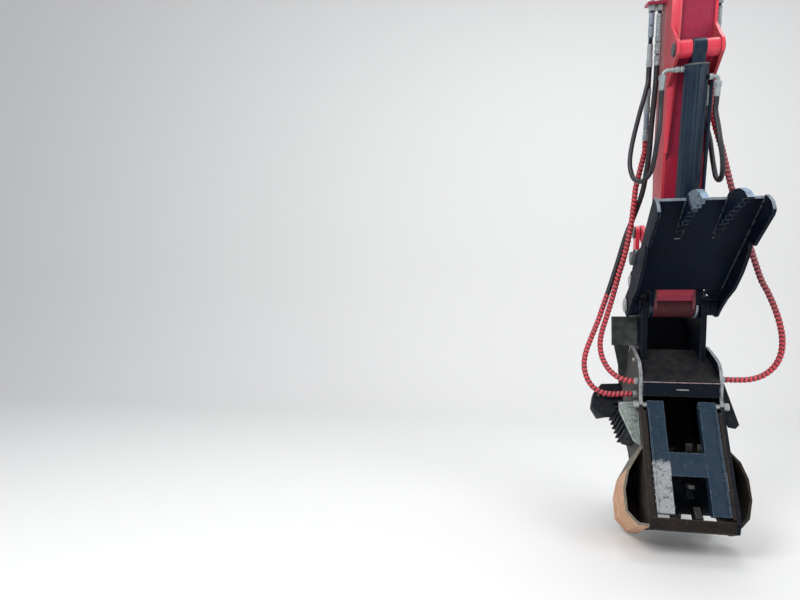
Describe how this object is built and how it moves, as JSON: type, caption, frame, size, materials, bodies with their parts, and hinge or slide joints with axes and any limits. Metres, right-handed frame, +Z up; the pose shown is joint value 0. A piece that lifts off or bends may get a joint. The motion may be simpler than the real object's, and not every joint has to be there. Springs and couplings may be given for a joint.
{
  "type": "excavator stick with hydraulic thumb and forestry mulching head",
  "caption": "Red excavator stick with a hydraulic thumb and a forestry mulching head: linkage, cylinders, hoses with red guards, toothed drum, hinged gate and rotor guard.",
  "frame": {"origin": "on the axis of the boom pivot's bore, in the stick's middle plane", "axes": "+Z up, +X to the operator's right along the pins, +Y away from the operator; as parked the stick leans 15 degrees, its nose forward"},
  "size_m": [0.902, 1.189, 3.3134],
  "materials": {
    "arm_paint": "worn gloss red paint, dusty",
    "linkage_paint": "worn black paint",
    "cylinder_paint": "black paint, dusty",
    "rod_chrome": "polished",
    "thumb_steel": "black paint worn to steel at the edges",
    "head_paint": "dark blue-black paint, dusty",
    "head_rusted": "worn paint with rust",
    "guard_rust": "rusty and muddy",
    "wing_plate": "scuffed grey",
    "gate_paint": "blue-black paint, scraped",
    "tooth_steel": "worn",
    "bare_steel": "worn",
    "plated_steel": "zinc-plated, weathered",
    "hose_guard": "red spiral guard",
    "hose_rubber": "black"
  },
  "bodies": {
    "stick": {"stick": "arm_paint", "stick_sides": "arm_paint", "bucket_bracket": "arm_paint", "tail_bosses": "arm_paint", "thumb_bracket_bosses": "arm_paint", "nose_pin": "bare_steel", "lever_pivot_pin": "bare_steel", "bucket_base_pin": "bare_steel", "thumb_base_pin": "bare_steel", "left_bulkhead": "arm_paint", "left_line_fittings": "plated_steel", "left_line_tubes": "plated_steel", "right_bulkhead": "arm_paint", "right_line_fittings": "plated_steel", "belly_fitting": "plated_steel", "hose_left_outer": "hose_guard", "hose_left_inner": "hose_guard", "hose_right": "hose_guard", "hose_thumb_left": "hose_rubber", "hose_thumb_right": "hose_rubber"},
    "levers": {"levers": "linkage_paint", "lever_link_pins": "bare_steel"},
    "link": {"link": "linkage_paint"},
    "bucket_barrel": {"bucket_barrel": "cylinder_paint"},
    "bucket_rod": {"bucket_rod": "rod_chrome"},
    "thumb_barrel": {"thumb_barrel": "cylinder_paint", "thumb_oil_tube": "cylinder_paint", "thumb_left_elbow": "plated_steel", "thumb_right_fitting": "plated_steel"},
    "thumb_rod": {"thumb_rod": "rod_chrome"},
    "thumb": {"thumb_plate": "thumb_steel", "thumb_walls": "thumb_steel", "thumb_tines": "thumb_steel", "thumb_ears": "thumb_steel", "thumb_rod_pins": "bare_steel"},
    "head": {"head_ears": "head_paint", "head_cross_plate": "head_paint", "link_pin": "bare_steel", "head_side_left": "head_rusted", "head_side_right": "head_paint", "head_deck": "head_paint", "head_front_wall": "head_paint", "head_lip": "head_rusted", "edge_bars": "head_rusted", "rotor_guard": "guard_rust", "bearing_guard": "head_paint", "belt_cover": "head_paint", "guard_wings": "wing_plate", "left_flange": "wing_plate", "drum_motor": "head_paint", "drum_bearing": "head_paint", "head_ports": "plated_steel"},
    "gate": {"gate": "gate_paint", "gate_pins": "bare_steel"},
    "rotor": {"drum": "head_paint", "drum_teeth": "tooth_steel"}
  },
  "joints": [
    {"name": "head_tilt", "type": "hinge", "parent": "stick", "child": "head", "pos_m": [0, 0.46587, -1.73867], "axis": [1, 0, 0], "range_deg": [-20, 45], "deforming": ["hose_left_outer", "hose_left_inner", "hose_right"]},
    {"name": "levers_swing", "type": "hinge", "parent": "stick", "child": "levers", "pos_m": [0, 0.40565, -1.47528], "axis": [1, 0, 0], "range_deg": [-20, 45]},
    {"name": "link_swing", "type": "hinge", "parent": "levers", "child": "link", "pos_m": [0, 0.63543, -1.34528], "axis": [1, 0, 0], "range_deg": [-45, 20]},
    {"name": "bucket_barrel_swing", "type": "hinge", "parent": "stick", "child": "bucket_barrel", "pos_m": [0, 0.29726, -0.25164], "axis": [1, 0, 0], "range_deg": [-4.6, 2.1]},
    {"name": "bucket_rod_slide", "type": "slide", "parent": "bucket_barrel", "child": "bucket_rod", "axis": [0, 0.2954, -0.9554], "range_m": [-0.178, 0.079]},
    {"name": "thumb_swing", "type": "hinge", "parent": "stick", "child": "thumb", "pos_m": [0, 0.46587, -1.73867], "axis": [1, 0, 0], "range_deg": [0, 50]},
    {"name": "thumb_barrel_swing", "type": "hinge", "parent": "stick", "child": "thumb_barrel", "pos_m": [0, 0.00538, -0.62283], "axis": [1, 0, 0], "range_deg": [-9.3, 0], "deforming": ["hose_thumb_left", "hose_thumb_right"]},
    {"name": "thumb_rod_slide", "type": "slide", "parent": "thumb_barrel", "child": "thumb_rod", "axis": [0, 0.2738, -0.9618], "range_m": [0, 0.2055]},
    {"name": "gate_hinge", "type": "hinge", "parent": "head", "child": "gate", "pos_m": [0, 0.29254, -2.21818], "axis": [-1, 0, 0], "range_deg": [0, 30]},
    {"name": "rotor_spin", "type": "hinge", "parent": "head", "child": "rotor", "pos_m": [0, 0.37656, -2.62076], "axis": [1, 0, 0], "continuous": true}
  ],
  "couplings": [
    {"joint": "levers_swing", "follows": "head_tilt", "ratio": 1},
    {"joint": "link_swing", "follows": "head_tilt", "ratio": -1},
    {"joint": "bucket_barrel_swing", "follows": "head_tilt", "ratio": -0.1},
    {"joint": "bucket_rod_slide", "follows": "head_tilt", "m_per_rad": -0.226},
    {"joint": "thumb_barrel_swing", "follows": "thumb_swing", "ratio": -0.185},
    {"joint": "thumb_rod_slide", "follows": "thumb_swing", "m_per_rad": 0.235}
  ]
}
